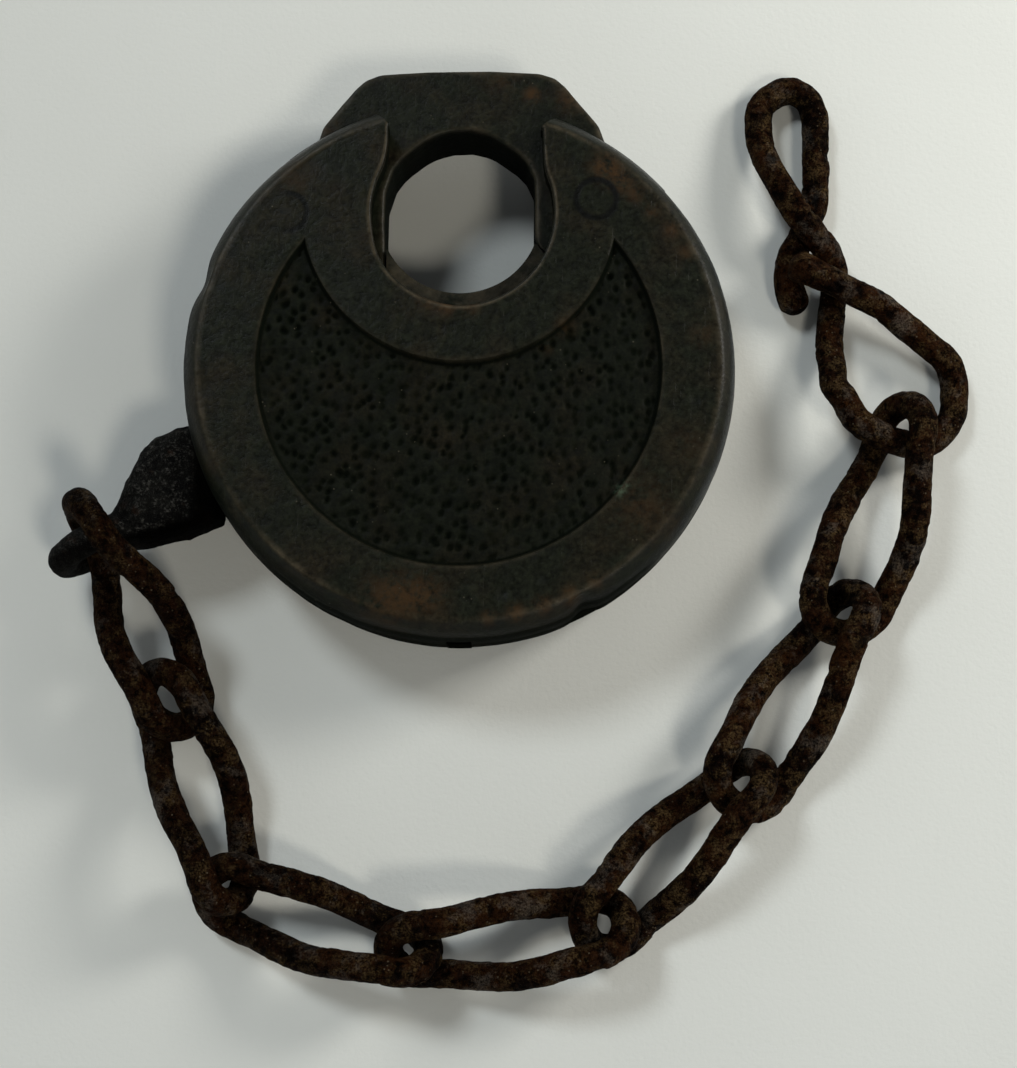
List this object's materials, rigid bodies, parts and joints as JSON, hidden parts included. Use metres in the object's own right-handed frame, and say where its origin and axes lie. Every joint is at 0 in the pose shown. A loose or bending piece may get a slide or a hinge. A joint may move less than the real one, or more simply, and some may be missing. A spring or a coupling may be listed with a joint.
{
  "type": "round push-key padlock with chain",
  "caption": "Old round lever padlock with a swinging flat shackle, a forged eye on its side and a rusty link chain.",
  "frame": {"origin": "centre of the round case on its flat back face", "axes": "+Z out of the front face, +Y towards the shackle, +X towards the pivot side"},
  "size_m": [0.1089, 0.11, 0.0163],
  "materials": {
    "case_iron": "dark aged patina, brown and grey wear on the edges, fine scratches",
    "shackle_iron": "dark aged patina, slightly smoother than the case",
    "rivet_steel": "dull dark grey, flush with the case",
    "lever_brass": "dull brass, lightly tarnished",
    "spring_steel": "blued spring steel",
    "chain_rust": "rough pitted dark brown rust with olive and orange tints"
  },
  "bodies": {
    "case": {"back_case": "case_iron", "front_case": "case_iron", "shackle_rivet": "rivet_steel", "case_rivet": "rivet_steel", "lower_rivet_left": "rivet_steel", "lower_rivet_right": "rivet_steel", "lever_post": "lever_brass", "spring_post": "lever_brass", "shackle_spring": "spring_steel", "chain_eye": "chain_rust"},
    "shackle": {"shackle": "shackle_iron"},
    "lever_1": {"lever_1": "lever_brass", "lever_spring_1": "spring_steel"},
    "lever_2": {"lever_2": "lever_brass", "lever_spring_2": "spring_steel"},
    "lever_3": {"lever_3": "lever_brass", "lever_spring_3": "spring_steel"},
    "lever_4": {"lever_4": "lever_brass", "lever_spring_4": "spring_steel"},
    "lever_5": {"lever_5": "lever_brass", "lever_spring_5": "spring_steel"},
    "lever_6": {"lever_6": "lever_brass", "lever_spring_6": "spring_steel"},
    "link_1": {"link_1": "chain_rust"},
    "link_2": {"link_2": "chain_rust"},
    "link_3": {"link_3": "chain_rust"},
    "link_4": {"link_4": "chain_rust"},
    "link_5": {"link_5": "chain_rust"},
    "link_6": {"link_6": "chain_rust"},
    "link_7": {"link_7": "chain_rust"},
    "end_link": {"end_link": "chain_rust"}
  },
  "joints": [
    {"name": "shackle_swing", "type": "hinge", "parent": "case", "child": "shackle", "pos_m": [0.01575, 0.019, 0.0075], "axis": [0, 0, 1], "range_deg": [-55, 0]},
    {"name": "lever_1_turn", "type": "hinge", "parent": "case", "child": "lever_1", "pos_m": [-0.017, -0.004, 0.004], "axis": [0, 0, 1], "range_deg": [-9, 0]},
    {"name": "lever_2_turn", "type": "hinge", "parent": "case", "child": "lever_2", "pos_m": [-0.017, -0.004, 0.0054], "axis": [0, 0, 1], "range_deg": [-9, 0]},
    {"name": "lever_3_turn", "type": "hinge", "parent": "case", "child": "lever_3", "pos_m": [-0.017, -0.004, 0.0068], "axis": [0, 0, 1], "range_deg": [-9, 0]},
    {"name": "lever_4_turn", "type": "hinge", "parent": "case", "child": "lever_4", "pos_m": [-0.017, -0.004, 0.0082], "axis": [0, 0, 1], "range_deg": [-9, 0]},
    {"name": "lever_5_turn", "type": "hinge", "parent": "case", "child": "lever_5", "pos_m": [-0.017, -0.004, 0.0096], "axis": [0, 0, 1], "range_deg": [-9, 0]},
    {"name": "lever_6_turn", "type": "hinge", "parent": "case", "child": "lever_6", "pos_m": [-0.017, -0.004, 0.011], "axis": [0, 0, 1], "range_deg": [-9, 0]},
    {"name": "link_1_swing", "type": "hinge", "parent": "case", "child": "link_1", "pos_m": [-0.0415, -0.02, 0.007], "axis": [0, 0, 1], "range_deg": [-12, 12]},
    {"name": "link_2_swing", "type": "hinge", "parent": "link_1", "child": "link_2", "pos_m": [-0.0363, -0.039, 0.005], "axis": [0, 0, -1], "range_deg": [-6, 8]},
    {"name": "link_3_swing", "type": "hinge", "parent": "link_2", "child": "link_3", "pos_m": [-0.026, -0.0595, 0.0045], "axis": [0, 0, 1], "range_deg": [-20, 9]},
    {"name": "link_4_swing", "type": "hinge", "parent": "link_3", "child": "link_4", "pos_m": [-0.0048, -0.0643, 0.0045], "axis": [0, 0, -1], "range_deg": [-7, 9]},
    {"name": "link_5_swing", "type": "hinge", "parent": "link_4", "child": "link_5", "pos_m": [0.0155, -0.0617, 0.0045], "axis": [0, 0, 1], "range_deg": [-18, 7]},
    {"name": "link_6_swing", "type": "hinge", "parent": "link_5", "child": "link_6", "pos_m": [0.031, -0.0473, 0.0045], "axis": [0, 0, -1], "range_deg": [-7, 16]},
    {"name": "link_7_swing", "type": "hinge", "parent": "link_6", "child": "link_7", "pos_m": [0.0445, -0.0293, 0.0047], "axis": [0, 0, 1], "range_deg": [-20, 9]},
    {"name": "end_link_swing", "type": "hinge", "parent": "link_7", "child": "end_link", "pos_m": [0.053, -0.0067, 0.0047], "axis": [0, 0, -1], "range_deg": [-14, 18]}
  ]
}
